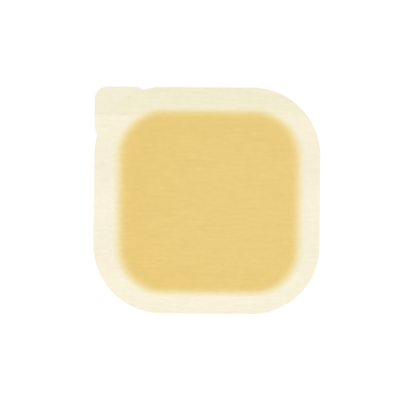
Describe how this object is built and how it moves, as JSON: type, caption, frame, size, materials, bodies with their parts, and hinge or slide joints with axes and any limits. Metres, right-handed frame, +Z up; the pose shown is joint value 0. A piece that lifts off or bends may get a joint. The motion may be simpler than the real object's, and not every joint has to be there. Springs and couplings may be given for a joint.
{
  "type": "hydrocolloid dressing",
  "caption": "Square hydrocolloid wound dressing with round corners: a soft pad that slopes down to a thin border under a clear film, on a release liner with a corner peel tab.",
  "frame": {"origin": "middle of the die-cut square, on the underside of the release liner, which rests on the table", "axes": "+Z up through the layers from the liner to the film, +Y towards the edge that the peel tab is level with, the peel tab at the -X, +Y corner"},
  "size_m": [0.1, 0.1, 0.002],
  "materials": {
    "release_liner": "cream siliconised release paper, satin",
    "hydrocolloid": "amber hydrocolloid adhesive, soft and slightly translucent",
    "backing_film": "thin see-through polyurethane film, matt"
  },
  "bodies": {
    "root": {"release_liner": "release_liner", "hydrocolloid_wafer": "hydrocolloid", "backing_film": "backing_film"}
  },
  "joints": []
}
